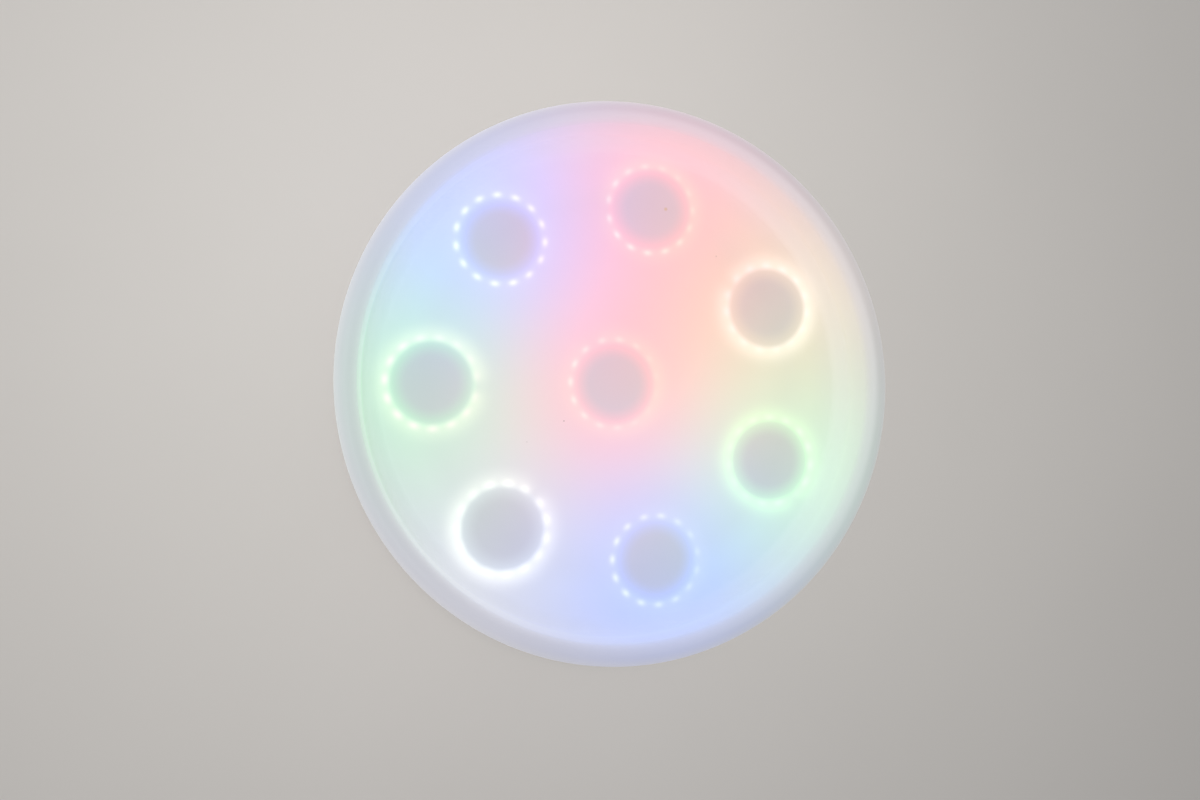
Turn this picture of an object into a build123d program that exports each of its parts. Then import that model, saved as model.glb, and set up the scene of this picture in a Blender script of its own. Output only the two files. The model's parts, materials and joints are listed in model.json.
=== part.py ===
from build123d import *

import os
from math import cos, hypot, radians, sin

# A low round sensory light table for children. A hollow translucent body with a recessed tray stands on
# a screwed base plate, and eight ring-shaped light pods are held up against the tray from inside.
# Millimetres, +Z up, origin on the floor under the middle of the table, +Y away from the control pocket.

# Body shell: one hollow moulding with the same wall all round
rim_outer_radius = 250.0
rim_width = 20.0
table_height = 256.0
tray_depth = 46.0
tray_wall_draft = 4.0
tray_corner_radius = 16.0
shell_wall = 4.0
shell_draft = 9.0
shell_foot_radius = 12.0
shell_ground_gap = 8.0
foot_band_width = 20.0
flange_width = 19.0

# Base plate, gasket and feet
foot_height = 10.0
plate_thickness = 4.0
plate_edge_gap = 1.0
gasket_thickness = 1.5
gasket_edge_gap = 1.0
spigot_gap = 1.0
rib_thickness = 2.5
rib_height = 8.0
inner_rib_offset = 18.0
rib_count = 12
boss_wall = 3.0
foot_count = 6
foot_inset = 21.0
foot_radius = 16.0
foot_sole_radius = 14.5
foot_web = 4.0

# Fasteners
m4_radius = 2.0
m4_head_radius = 3.8
m4_pan_height = 2.6
pan_head_bevel = 0.8
countersink_depth = 2.0
m4_length = 14.0
bracket_screw_length = 8.0
m3_radius = 1.5
m3_head_radius = 2.8
m3_pan_height = 2.0
m3_length = 10.0
drive_width = 0.9
drive_depth = 1.2
thread_gap = 0.05
hole_gap = 0.3
blind_end_gap = 1.5
base_screw_count = 12
insert_wall = 0.8
insert_length = 8.0
insert_recess = 1.0

# Mounting deck and standoffs
deck_entry_gap = 6.0
deck_thickness = 4.0
deck_rim_height = 6.0
deck_vent_radius = 11.0
deck_vent_circle_radius = 104.0
standoff_circle_radius = 150.0
standoff_flats = 10.0

# Light pods
outer_pod_count = 7
pod_wall_distance = 60.0
pod_radius = 38.5
pod_wall = 2.0
pod_floor = 2.5
pod_height = 30.0
pod_skin_gap = 0.5
pod_boss_height = 8.0
pod_screw_count = 2
pod_screw_circle_radius = 30.0
touch_plate_thickness = 1.6
touch_plate_gap = 0.5
foam_radius = 24.0
foam_bore_radius = 6.0
strip_thickness = 0.8
strip_width = 10.0
strip_drop = 3.0
strip_joint_gap = 3.0
led_count = 15
led_width = 5.0
led_depth = 1.6
led_embed = 0.3
# Where the joint of each strip points, for the middle pod and then clockwise from the far side
strip_joint_angles = [118.0, 188.0, 148.0, -55.0, 118.0, 47.0, -7.0, -40.0]

# Looms and leads
main_loom_radius = 4.0
main_loom_bend = 22.0
main_loom_first_rise = 37.0
main_loom_last_rise = 45.0
ring_loom_radius = 2.5
ring_loom_circle_radius = 82.0
ring_loom_lift = 4.5
ring_loom_gap_angle = 20.0
branch_radius = 1.5
clip_length = 6.0
clip_wall = 2.0
grommet_wall = 4.0
grommet_lip = 2.5
grommet_lip_thickness = 1.5
lead_radius = 1.5
lead_rise = 24.0
lead_drop_distance = 40.0
lead_bend = 9.0
lead_end_gap = 0.1

# Control board
board_length = 110.0
board_width = 70.0
board_thickness = 1.6
board_x = -58.0
board_y = 62.0
board_post_height = 6.0
board_screw_inset = 5.0
connector_length = 8.0
connector_width = 9.0
connector_height = 7.0
connector_inset = 1.0
loom_connector_length = 16.0
loom_connector_width = 10.0
# Connectors along the front edge, from the board's middle: power, mode, light, socket, battery
connector_offsets = [-35.0, -15.0, 5.0, 25.0, 42.0]
# Chips and coils, from the board's middle: x, y, length, width and height
board_blocks = [
    (8.0, 12.0, 14.0, 14.0, 2.0),
    (30.0, -6.0, 10.0, 8.0, 2.0),
    (38.0, 14.0, 9.0, 9.0, 4.5),
    (-42.0, -4.0, 8.0, 6.0, 1.6),
]
capacitor_offsets = [(-36.0, 16.0), (-22.0, 22.0)]
capacitor_radius = 4.0
capacitor_height = 11.0

# Battery pack
cell_radius = 9.3
cell_count = 4
wrap_thickness = 0.4
pack_groove = 1.6
pack_length = 67.0
pack_x = 75.0
pack_y = 62.0
bracket_thickness = 1.5
bracket_width = 24.0
bracket_tab = 14.0
bracket_post_height = 6.0
bracket_gap = 0.3

# Control pocket, let into the base plate from below
pocket_standoff_gap = 10.74
pocket_length = 116.0
pocket_width = 52.0
pocket_depth = 28.0
pocket_corner_radius = 8.0
pocket_wall = 2.5
pocket_ceiling = 3.0
pocket_flange = 9.0
pocket_flange_thickness = 2.0
pocket_plate_gap = 0.5
pocket_screw_spacing = 40.0

# Buttons, each with a return spring and a switch in a collar
power_x = -43.0
mode_x = -12.0
button_radius = 9.0
button_reach = 4.5
button_mark_height = 0.5
button_mark_width = 2.0
button_flange_radius = 11.0
button_flange_thickness = 2.0
button_stem_radius = 2.5
button_travel = 1.5
moving_gap = 0.3
collar_gap = 1.0
collar_wall = 2.0
collar_height = 10.0
switch_plug_length = 3.0
switch_cap_height = 5.0
switch_roof = 1.8
spring_wire_radius = 0.45
spring_radius = 5.5
spring_turns = 3

# Charging socket, its hinged cover and the status light
socket_x = 34.0
socket_thread_radius = 6.0
socket_flange_radius = 8.0
socket_flange_thickness = 1.5
socket_bore_radius = 3.2
socket_bore_depth = 9.5
socket_pin_radius = 1.0
socket_pin_recess = 1.0
socket_body_height = 14.0
socket_tab_height = 4.0
socket_tab_width = 3.0
socket_tab_thickness = 0.8
socket_tab_spacing = 6.0
nut_flats = 15.0
nut_height = 3.0
cover_radius = 9.5
cover_thickness = 2.0
cover_arm_width = 8.0
cover_tab_length = 4.0
cover_hinge_offset = 13.5
knuckle_radius = 2.3
knuckle_length = 9.6
hinge_pin_radius = 1.0
hinge_running_gap = 0.08
ear_thickness = 3.0
ear_width = 5.0
ear_reach = 5.4
light_x = 9.0
light_radius = 2.5
light_reach = 1.2
light_flange_radius = 4.0
light_flange_height = 2.0
light_body_height = 4.0

# Heights that follow from the sizes above
rim_radius = rim_width / 2
rim_centre_radius = rim_outer_radius - rim_radius
rim_inner_radius = rim_outer_radius - rim_width
rim_centre_z = table_height - rim_radius
tray_z = table_height - tray_depth
skin_z = tray_z - shell_wall
tray_floor_radius = rim_inner_radius - tray_wall_draft
plate_top_z = foot_height + plate_thickness
flange_z = plate_top_z + gasket_thickness
rebate_radius = rim_outer_radius - shell_draft - foot_band_width
plate_radius = rebate_radius - plate_edge_gap
opening_radius = rebate_radius - flange_width
spigot_radius = opening_radius - spigot_gap
inner_rib_radius = standoff_circle_radius + inner_rib_offset
foot_circle_radius = spigot_radius - foot_inset
base_screw_circle_radius = rebate_radius - flange_width / 2
insert_radius = m4_radius + thread_gap + insert_wall
insert_z = flange_z + insert_recess
deck_radius = opening_radius - deck_entry_gap
pod_circle_radius = tray_floor_radius - pod_wall_distance
pod_top_z = skin_z - pod_skin_gap
deck_top_z = pod_top_z - pod_height
deck_z = deck_top_z - deck_thickness
touch_plate_z = skin_z - touch_plate_thickness
pod_bore_radius = pod_radius - pod_wall
ring_loom_z = deck_top_z + ring_loom_lift
board_z = plate_top_z + board_post_height
board_top_z = board_z + board_thickness
connector_z = board_top_z + connector_height / 2
connector_front_y = board_y - board_width / 2 + connector_inset
connector_xs = [board_x + offset for offset in connector_offsets]
pocket_flange_z = foot_height - pocket_flange_thickness
ceiling_z = pocket_flange_z + pocket_depth
ceiling_top_z = ceiling_z + pocket_ceiling
pod_step = 360 / outer_pod_count


# Points and planes that several pieces share
def on_circle(radius, angle):
    """The point at an angle on a circle about the table's axis."""
    return radius * cos(radians(angle)), radius * sin(radians(angle))


def facing_down(x, y, z):
    """A plane that faces the floor, for what is fitted from above."""
    return Plane(origin=(x, y, z), x_dir=(1, 0, 0), z_dir=(0, 0, -1))


def facing_near(x, y, z):
    """An upright plane that faces the side with the control pocket."""
    return Plane(origin=(x, y, z), x_dir=(1, 0, 0), z_dir=(0, -1, 0))


def sideways(x, y, z, angle):
    """An upright plane that faces along an angle about the table's axis."""
    return Plane(origin=(x, y, z), x_dir=(0, 0, 1), z_dir=(*on_circle(1, angle), 0))


# Each pod: its name, its middle, and the angle at which its lead comes in
pods = [("centre", (0.0, 0.0), 90.0)]
for number in range(1, outer_pod_count + 1):
    pod_angle = 180 - (number + 1) * pod_step
    pods.append((str(number), on_circle(pod_circle_radius, pod_angle), pod_angle + 180))

# The standoffs and the vents stand in the gaps between the outer pods
gap_angles = [180 + (number + 0.5) * pod_step for number in range(outer_pod_count)]
clip_angles = [angle for angle in gap_angles if abs(angle - 360) > ring_loom_gap_angle]
standoff_places = [on_circle(standoff_circle_radius, angle) for angle in gap_angles]
foot_places = [
    on_circle(foot_circle_radius, (number + 0.5) * 360 / foot_count) for number in range(foot_count)
]
base_screw_places = [
    on_circle(base_screw_circle_radius, (number + 0.5) * 360 / base_screw_count)
    for number in range(base_screw_count)
]
board_screw_x = board_length / 2 - board_screw_inset
board_screw_y = board_width / 2 - board_screw_inset
board_screw_places = [
    (board_x + side * board_screw_x, board_y + end * board_screw_y) for side in (-1, 1) for end in (-1, 1)
]
pack_half_width = cell_count * cell_radius + wrap_thickness
pack_height = 2 * (cell_radius + wrap_thickness)
bracket_leg_x = pack_half_width + bracket_gap
bracket_screw_x = bracket_leg_x + bracket_thickness + bracket_tab / 2
bracket_screw_places = [(pack_x - bracket_screw_x, pack_y), (pack_x + bracket_screw_x, pack_y)]
pocket_outer_length = pocket_length + 2 * pocket_wall
pocket_outer_width = pocket_width + 2 * pocket_wall
pocket_y = min(y for x, y in standoff_places) + pocket_standoff_gap + pocket_outer_width / 2 + pocket_flange
pocket_screw_places = [
    (side * (pocket_outer_length + pocket_flange) / 2, pocket_y + end * pocket_screw_spacing / 2)
    for side in (-1, 1)
    for end in (-1, 1)
]
loom_x = -ring_loom_circle_radius
parts = {}


# Fasteners, each standing on the origin with its shank up
def turned(outline):
    """A solid turned about the Z axis from the points of its half outline."""
    with BuildPart() as piece:
        with BuildSketch(Plane.XZ):
            with BuildLine():
                Polyline(*outline, close=True)
            make_face()
        revolve(axis=Axis.Z)
    return piece.part


def with_drive(body, head_radius, head_z):
    """A screw with a cross cut up into its head from below."""
    with BuildPart() as screw:
        add(body)
        with BuildSketch(Plane.XY.offset(head_z)):
            Rectangle(head_radius, drive_width)
            Rectangle(drive_width, head_radius)
        extrude(amount=drive_depth, mode=Mode.SUBTRACT)
    return screw.part


def pan_screw(head_radius, head_height, shank_radius, length):
    """A pan head screw whose head hangs below the origin, under its seat."""
    outline = [
        (0, -head_height),
        (head_radius - pan_head_bevel, -head_height),
        (head_radius, pan_head_bevel - head_height),
        (head_radius, 0),
        (shank_radius, 0),
        (shank_radius, length),
        (0, length),
    ]
    return with_drive(turned(outline), head_radius, -head_height)


countersunk_outline = [
    (0, 0),
    (m4_head_radius, 0),
    (m4_radius, countersink_depth),
    (m4_radius, m4_length),
    (0, m4_length),
]
countersunk_screw = with_drive(turned(countersunk_outline), m4_head_radius, 0)
foot_screw = pan_screw(m4_head_radius, m4_pan_height, m4_radius, m4_length)
bracket_screw = pan_screw(m4_head_radius, m4_pan_height, m4_radius, bracket_screw_length)
small_screw = pan_screw(m3_head_radius, m3_pan_height, m3_radius, m3_length)

# Body shell, moulded closed and then cut open underneath
with BuildPart() as body_shell:
    with BuildSketch(Plane.XZ):
        with BuildLine():
            FilletPolyline(
                (0, tray_z),
                (tray_floor_radius, tray_z),
                (rim_inner_radius, rim_centre_z),
                radius=tray_corner_radius,
            )
            ThreePointArc(
                (rim_inner_radius, rim_centre_z),
                (rim_centre_radius, table_height),
                (rim_outer_radius, rim_centre_z),
            )
            FilletPolyline(
                (rim_outer_radius, rim_centre_z),
                (rim_outer_radius - shell_draft, shell_ground_gap),
                (rebate_radius, shell_ground_gap),
                radius=shell_foot_radius,
            )
            Polyline((rebate_radius, shell_ground_gap), (rebate_radius, flange_z), (0, flange_z))
            mirror(about=Plane.YZ)
        make_face()
        offset(amount=-shell_wall, mode=Mode.SUBTRACT)
        split(bisect_by=Plane.YZ)
    revolve(axis=Axis.Z)
    with BuildSketch(Plane.XY.offset(flange_z)):
        Circle(opening_radius)
    extrude(amount=shell_wall, mode=Mode.SUBTRACT)
    insert_hole_depth = insert_recess + insert_length + blind_end_gap
    with BuildSketch(Plane.XY.offset(flange_z)):
        with Locations(*base_screw_places):
            Circle(insert_radius + thread_gap + boss_wall)
    extrude(amount=insert_hole_depth + boss_wall)
    with BuildSketch(Plane.XY.offset(flange_z)):
        with Locations(*base_screw_places):
            Circle(insert_radius + thread_gap)
    extrude(amount=insert_hole_depth, mode=Mode.SUBTRACT)
parts["body_shell"] = body_shell

with BuildPart() as threaded_inserts:
    with BuildSketch(Plane.XY.offset(insert_z)):
        with Locations(*base_screw_places):
            Circle(insert_radius)
            Circle(m4_radius + thread_gap, mode=Mode.SUBTRACT)
    extrude(amount=insert_length)
parts["threaded_inserts"] = threaded_inserts

# Base plate with its locating spigot, ribs and bosses
with BuildPart() as base_plate:
    with BuildSketch(Plane.XY.offset(foot_height)):
        Circle(plate_radius)
    extrude(amount=plate_thickness)
    with BuildSketch(Plane.XY.offset(plate_top_z)):
        Circle(spigot_radius)
        Circle(spigot_radius - rib_thickness, mode=Mode.SUBTRACT)
        Circle(inner_rib_radius)
        Circle(inner_rib_radius - rib_thickness, mode=Mode.SUBTRACT)
        rib_length = spigot_radius - inner_rib_radius
        with PolarLocations(inner_rib_radius + rib_length / 2 - rib_thickness / 2, rib_count):
            Rectangle(rib_length, rib_thickness)
    extrude(amount=rib_height)
    foot_boss_height = m4_length - foot_web - plate_thickness + blind_end_gap
    with BuildSketch(Plane.XY.offset(plate_top_z)):
        with Locations(*foot_places):
            Circle(m4_radius + boss_wall)
    extrude(amount=foot_boss_height + blind_end_gap)
    with BuildSketch(Plane.XY.offset(plate_top_z)):
        with Locations(*board_screw_places):
            Circle(m3_radius + boss_wall)
    extrude(amount=board_post_height)
    with BuildSketch(Plane.XY.offset(plate_top_z)):
        with Locations(*bracket_screw_places):
            Circle(m4_radius + boss_wall)
    extrude(amount=bracket_post_height)
    pocket_boss_height = m3_length - pocket_flange_thickness - plate_thickness + blind_end_gap
    with BuildSketch(Plane.XY.offset(plate_top_z)):
        with Locations(*pocket_screw_places):
            Circle(m3_radius + boss_wall)
    extrude(amount=pocket_boss_height + blind_end_gap)
    with BuildSketch(Plane((0, pocket_y, foot_height))):
        RectangleRounded(
            pocket_outer_length + 2 * pocket_plate_gap,
            pocket_outer_width + 2 * pocket_plate_gap,
            pocket_corner_radius + pocket_wall + pocket_plate_gap,
        )
    extrude(amount=plate_thickness + pocket_boss_height + 2 * blind_end_gap, mode=Mode.SUBTRACT)
    with Locations(facing_down(0, 0, foot_height)):
        with Locations(*[(x, -y) for x, y in base_screw_places + standoff_places]):
            CounterSinkHole(m4_radius + hole_gap, m4_head_radius + hole_gap, depth=plate_thickness)
    with BuildSketch(Plane.XY.offset(foot_height)):
        with Locations(*foot_places):
            Circle(m4_radius + thread_gap)
    extrude(amount=plate_thickness + foot_boss_height, mode=Mode.SUBTRACT)
    with BuildSketch(facing_down(0, 0, plate_top_z + board_post_height)):
        with Locations(*[(x, -y) for x, y in board_screw_places]):
            Circle(m3_radius + thread_gap)
    extrude(amount=m3_length - board_thickness + thread_gap, mode=Mode.SUBTRACT)
    with BuildSketch(facing_down(0, 0, plate_top_z + bracket_post_height)):
        with Locations(*[(x, -y) for x, y in bracket_screw_places]):
            Circle(m4_radius + thread_gap)
    extrude(amount=bracket_screw_length - bracket_thickness + blind_end_gap, mode=Mode.SUBTRACT)
    with BuildSketch(Plane.XY.offset(foot_height)):
        with Locations(*pocket_screw_places):
            Circle(m3_radius + thread_gap)
    extrude(amount=plate_thickness + pocket_boss_height, mode=Mode.SUBTRACT)
parts["base_plate"] = base_plate

with BuildPart() as base_gasket:
    with BuildSketch(Plane.XY.offset(plate_top_z)):
        Circle(plate_radius - gasket_edge_gap)
        Circle(opening_radius + gasket_edge_gap, mode=Mode.SUBTRACT)
        with Locations(*base_screw_places):
            Circle(m4_radius + hole_gap, mode=Mode.SUBTRACT)
    extrude(amount=gasket_thickness)
parts["base_gasket"] = base_gasket

with BuildPart(Plane.XY.offset(foot_height)) as base_screws:
    with Locations(*base_screw_places):
        add(countersunk_screw)
parts["base_screws"] = base_screws

# Feet that taper to the floor, each with a recess for its screw
with BuildPart() as rubber_feet:
    for x, y in foot_places:
        with BuildSketch(Plane((x, y, 0))):
            Circle(foot_sole_radius)
        with BuildSketch(Plane((x, y, foot_height))):
            Circle(foot_radius)
        loft()
        with BuildSketch(Plane((x, y, 0))):
            Circle(m4_head_radius + hole_gap)
        extrude(amount=foot_height - foot_web, mode=Mode.SUBTRACT)
        with BuildSketch(Plane((x, y, 0))):
            Circle(m4_radius + thread_gap)
        extrude(amount=foot_height, mode=Mode.SUBTRACT)
parts["rubber_feet"] = rubber_feet

with BuildPart(Plane.XY.offset(foot_height - foot_web)) as foot_screws:
    with Locations(*foot_places):
        add(foot_screw)
parts["foot_screws"] = foot_screws

# Mounting deck on hexagonal standoffs
with BuildPart() as mounting_deck:
    with BuildSketch(Plane.XY.offset(deck_z)):
        Circle(deck_radius)
    extrude(amount=deck_thickness)
    with BuildSketch(Plane.XY.offset(deck_z)):
        Circle(deck_radius)
        Circle(deck_radius - rib_thickness, mode=Mode.SUBTRACT)
    extrude(amount=-deck_rim_height)
    with BuildSketch(Plane.XY.offset(deck_z)):
        with Locations(*[on_circle(deck_vent_circle_radius, angle) for angle in gap_angles]):
            Circle(deck_vent_radius)
        with Locations((loom_x, 0)):
            Circle(main_loom_radius + thread_gap + grommet_wall)
        for name, (x, y), entry_angle in pods:
            with Locations((x, y)):
                with PolarLocations(pod_screw_circle_radius, pod_screw_count, entry_angle + 90):
                    Circle(m3_radius + hole_gap)
    extrude(amount=deck_thickness, mode=Mode.SUBTRACT)
    with Locations(Plane.XY.offset(deck_top_z)):
        with Locations(*standoff_places):
            CounterSinkHole(m4_radius + hole_gap, m4_head_radius + hole_gap, depth=deck_thickness)
parts["mounting_deck"] = mounting_deck

with BuildPart() as deck_standoffs:
    with BuildSketch(Plane.XY.offset(plate_top_z)):
        with Locations(*standoff_places):
            RegularPolygon(standoff_flats / 2, 6, major_radius=False)
    extrude(amount=deck_z - plate_top_z)
    with BuildSketch(Plane.XY.offset(plate_top_z)):
        with Locations(*standoff_places):
            Circle(m4_radius + thread_gap)
    extrude(amount=m4_length - plate_thickness + blind_end_gap, mode=Mode.SUBTRACT)
    with BuildSketch(Plane.XY.offset(deck_z)):
        with Locations(*standoff_places):
            Circle(m4_radius + thread_gap)
    extrude(amount=deck_thickness - m4_length - blind_end_gap, mode=Mode.SUBTRACT)
parts["deck_standoffs"] = deck_standoffs

with BuildPart(Plane.XY.offset(foot_height), facing_down(0, 0, deck_top_z)) as standoff_screws:
    with Locations(*standoff_places):
        add(countersunk_screw)
parts["standoff_screws"] = standoff_screws


# Light pods: a cup, a strip of lights wrapped round it, and a touch plate under the tray
def pod_cup(x, y, entry_angle):
    """An open cup with screw bosses on its floor and a hole for its lead."""
    with BuildPart() as cup:
        with BuildSketch(Plane((x, y, deck_top_z))):
            Circle(pod_radius)
        extrude(amount=pod_height)
        with BuildSketch(Plane((x, y, deck_top_z + pod_floor))):
            Circle(pod_bore_radius)
        extrude(amount=pod_height - pod_floor, mode=Mode.SUBTRACT)
        with BuildSketch(Plane((x, y, deck_top_z + pod_floor))):
            with PolarLocations(pod_screw_circle_radius, pod_screw_count, entry_angle + 90):
                Circle(m3_radius + boss_wall)
        extrude(amount=pod_boss_height)
        with BuildSketch(Plane((x, y, deck_top_z))):
            with PolarLocations(pod_screw_circle_radius, pod_screw_count, entry_angle + 90):
                Circle(m3_radius + thread_gap)
        extrude(amount=m3_length - deck_thickness + blind_end_gap, mode=Mode.SUBTRACT)
        with BuildSketch(sideways(x, y, ring_loom_z, entry_angle).offset(pod_bore_radius - pod_wall)):
            Circle(branch_radius + hole_gap)
        extrude(amount=3 * pod_wall, mode=Mode.SUBTRACT)
    return cup


def led_ring(x, y, joint_angle):
    """A strip round the cup with its lights facing out, open at its joint."""
    strip_outer_radius = pod_radius + strip_thickness
    led_step = 360 / led_count
    with BuildPart() as ring:
        with BuildSketch(Plane((x, y, pod_top_z - strip_drop - strip_width))):
            Circle(strip_outer_radius)
            Circle(pod_radius, mode=Mode.SUBTRACT)
            with PolarLocations(strip_outer_radius, 1, joint_angle):
                Rectangle(2 * strip_outer_radius - pod_radius, strip_joint_gap, mode=Mode.SUBTRACT)
        extrude(amount=strip_width)
        with BuildSketch(Plane((x, y, pod_top_z - strip_drop - strip_width / 2 - led_width / 2))):
            led_circle_radius = strip_outer_radius + (led_depth - led_embed) / 2
            with PolarLocations(led_circle_radius, led_count, joint_angle + led_step / 2):
                Rectangle(led_depth + led_embed, led_width)
        extrude(amount=led_width)
    return ring


def touch_plate(x, y):
    """A flat round sensor plate that lies against the underside of the tray."""
    with BuildPart() as plate:
        with BuildSketch(Plane((x, y, touch_plate_z))):
            Circle(pod_bore_radius - touch_plate_gap)
        extrude(amount=touch_plate_thickness)
    return plate


for (name, (x, y), entry_angle), joint_angle in zip(pods, strip_joint_angles):
    parts[f"pod_cup_{name}"] = pod_cup(x, y, entry_angle)
    parts[f"led_ring_{name}"] = led_ring(x, y, joint_angle)
    parts[f"touch_plate_{name}"] = touch_plate(x, y)

with BuildPart() as foam_springs:
    with BuildSketch(Plane.XY.offset(deck_top_z + pod_floor)):
        with Locations(*[place for name, place, entry_angle in pods]):
            Circle(foam_radius)
            Circle(foam_bore_radius, mode=Mode.SUBTRACT)
    extrude(amount=touch_plate_z - deck_top_z - pod_floor)
parts["foam_springs"] = foam_springs

with BuildPart() as small_screws:
    with Locations(Plane.XY.offset(deck_z)):
        for name, (x, y), entry_angle in pods:
            with Locations((x, y)):
                with PolarLocations(pod_screw_circle_radius, pod_screw_count, entry_angle + 90):
                    add(small_screw)
    with Locations(facing_down(0, 0, board_top_z)):
        with Locations(*[(x, -y) for x, y in board_screw_places]):
            add(small_screw)
    with Locations(Plane.XY.offset(pocket_flange_z)):
        with Locations(*pocket_screw_places):
            add(small_screw)
parts["small_screws"] = small_screws


# Looms and leads
def lead(route, radius, bend_radius):
    """A round lead along straight runs joined by arcs."""
    with BuildPart() as tube:
        with BuildLine() as path:
            FilletPolyline(*route, radius=bend_radius)
        with BuildSketch(Plane(origin=path.line @ 0, z_dir=path.line % 0)):
            Circle(radius)
        sweep(path=path.line)
    return tube


loom_start_z = board_top_z + connector_height
loom_end_z = ring_loom_z - ring_loom_radius
main_loom_route = [
    (loom_x, board_y, loom_start_z),
    (loom_x, board_y, loom_start_z + main_loom_first_rise),
    (loom_x, 0, loom_end_z - main_loom_last_rise),
    (loom_x, 0, loom_end_z),
]
parts["main_loom"] = lead(main_loom_route, main_loom_radius, main_loom_bend)

with BuildPart() as ring_loom:
    with BuildSketch(Plane.XZ):
        with Locations((ring_loom_circle_radius, ring_loom_z)):
            Circle(ring_loom_radius)
    revolve(axis=Axis.Z, revolution_arc=360 - ring_loom_gap_angle)
    for name, (x, y), entry_angle in pods:
        branch_length = abs(hypot(x, y) - ring_loom_circle_radius) - pod_bore_radius + pod_wall
        branch_start = on_circle(ring_loom_circle_radius, entry_angle + (0 if name == "centre" else 180))
        with BuildSketch(sideways(*branch_start, ring_loom_z, entry_angle + 180)):
            Circle(branch_radius)
        extrude(amount=branch_length)
parts["ring_loom"] = ring_loom

with BuildPart() as loom_clips:
    clip_width = 2 * (ring_loom_radius + thread_gap + clip_wall)
    for angle in clip_angles:
        x, y = on_circle(ring_loom_circle_radius, angle)
        with BuildSketch(Plane((x, y, deck_top_z), x_dir=(*on_circle(1, angle), 0))):
            Rectangle(clip_width, clip_length)
        extrude(amount=ring_loom_lift + ring_loom_radius + clip_wall)
        with BuildSketch(sideways(x, y, ring_loom_z, angle + 90)):
            Circle(ring_loom_radius + hole_gap)
        extrude(amount=clip_length, both=True, mode=Mode.SUBTRACT)
parts["loom_clips"] = loom_clips

with BuildPart() as loom_grommet:
    hole_radius = main_loom_radius + thread_gap + grommet_wall
    with BuildSketch(Plane((loom_x, 0, deck_z - grommet_lip_thickness))):
        Circle(hole_radius + grommet_lip)
    extrude(amount=deck_thickness + 2 * grommet_lip_thickness)
    with BuildSketch(Plane((loom_x, 0, deck_z))):
        Circle(hole_radius + 2 * grommet_lip)
        Circle(hole_radius, mode=Mode.SUBTRACT)
    extrude(amount=deck_thickness, mode=Mode.SUBTRACT)
    with BuildSketch(Plane((loom_x, 0, deck_z - grommet_lip_thickness))):
        Circle(main_loom_radius + thread_gap)
    extrude(amount=deck_thickness + 2 * grommet_lip_thickness, mode=Mode.SUBTRACT)
parts["loom_grommet"] = loom_grommet

# Control board on its four posts
with BuildPart() as control_board:
    with BuildSketch(Plane.XY.offset(board_z)):
        with Locations((board_x, board_y)):
            Rectangle(board_length, board_width)
        with Locations(*board_screw_places):
            Circle(m3_radius + hole_gap, mode=Mode.SUBTRACT)
    extrude(amount=board_thickness)
parts["control_board"] = control_board

with BuildPart() as board_components:
    for x, y, length, width, height in board_blocks:
        with BuildSketch(Plane((board_x + x, board_y + y, board_top_z))):
            Rectangle(length, width)
        extrude(amount=height)
    with BuildSketch(Plane((board_x, board_y, board_top_z))):
        with Locations(*capacitor_offsets):
            Circle(capacitor_radius)
    extrude(amount=capacitor_height)
parts["board_components"] = board_components

with BuildPart() as board_connectors:
    with BuildSketch(Plane.XY.offset(board_top_z)):
        with Locations(*[(x, connector_front_y + connector_width / 2) for x in connector_xs]):
            Rectangle(connector_length, connector_width)
        with Locations((loom_x, board_y)):
            Rectangle(loom_connector_length, loom_connector_width)
    extrude(amount=connector_height)
parts["board_connectors"] = board_connectors

# Battery pack: cells side by side in a shrunk wrap, under a strap
with BuildPart() as battery_pack:
    with BuildSketch(facing_near(pack_x, pack_y, plate_top_z + pack_height / 2)):
        with GridLocations(2 * cell_radius, 0, cell_count, 1):
            Circle(cell_radius + wrap_thickness)
        Rectangle(2 * cell_radius * (cell_count - 1), pack_height - pack_groove)
    extrude(amount=pack_length / 2, both=True)
parts["battery_pack"] = battery_pack

with BuildPart() as battery_bracket:
    leg_height = pack_height + bracket_gap - bracket_post_height
    tab_z = plate_top_z + bracket_post_height
    with BuildSketch(facing_near(pack_x, pack_y, tab_z)):
        with BuildLine():
            Polyline(
                (-bracket_leg_x - bracket_thickness - bracket_tab, 0),
                (-bracket_leg_x, 0),
                (-bracket_leg_x, leg_height),
                (bracket_leg_x, leg_height),
                (bracket_leg_x, 0),
                (bracket_leg_x + bracket_thickness + bracket_tab, 0),
                (bracket_leg_x + bracket_thickness + bracket_tab, bracket_thickness),
                (bracket_leg_x + bracket_thickness, bracket_thickness),
                (bracket_leg_x + bracket_thickness, leg_height + bracket_thickness),
                (-bracket_leg_x - bracket_thickness, leg_height + bracket_thickness),
                (-bracket_leg_x - bracket_thickness, bracket_thickness),
                (-bracket_leg_x - bracket_thickness - bracket_tab, bracket_thickness),
                close=True,
            )
        make_face()
    extrude(amount=bracket_width / 2, both=True)
    with BuildSketch(Plane.XY.offset(tab_z)):
        with Locations(*bracket_screw_places):
            Circle(m4_radius + hole_gap)
    extrude(amount=bracket_thickness, mode=Mode.SUBTRACT)
parts["battery_bracket"] = battery_bracket

with BuildPart() as bracket_screws:
    with Locations(facing_down(0, 0, tab_z + bracket_thickness)):
        with Locations(*[(x, -y) for x, y in bracket_screw_places]):
            add(bracket_screw)
parts["bracket_screws"] = bracket_screws

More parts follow.
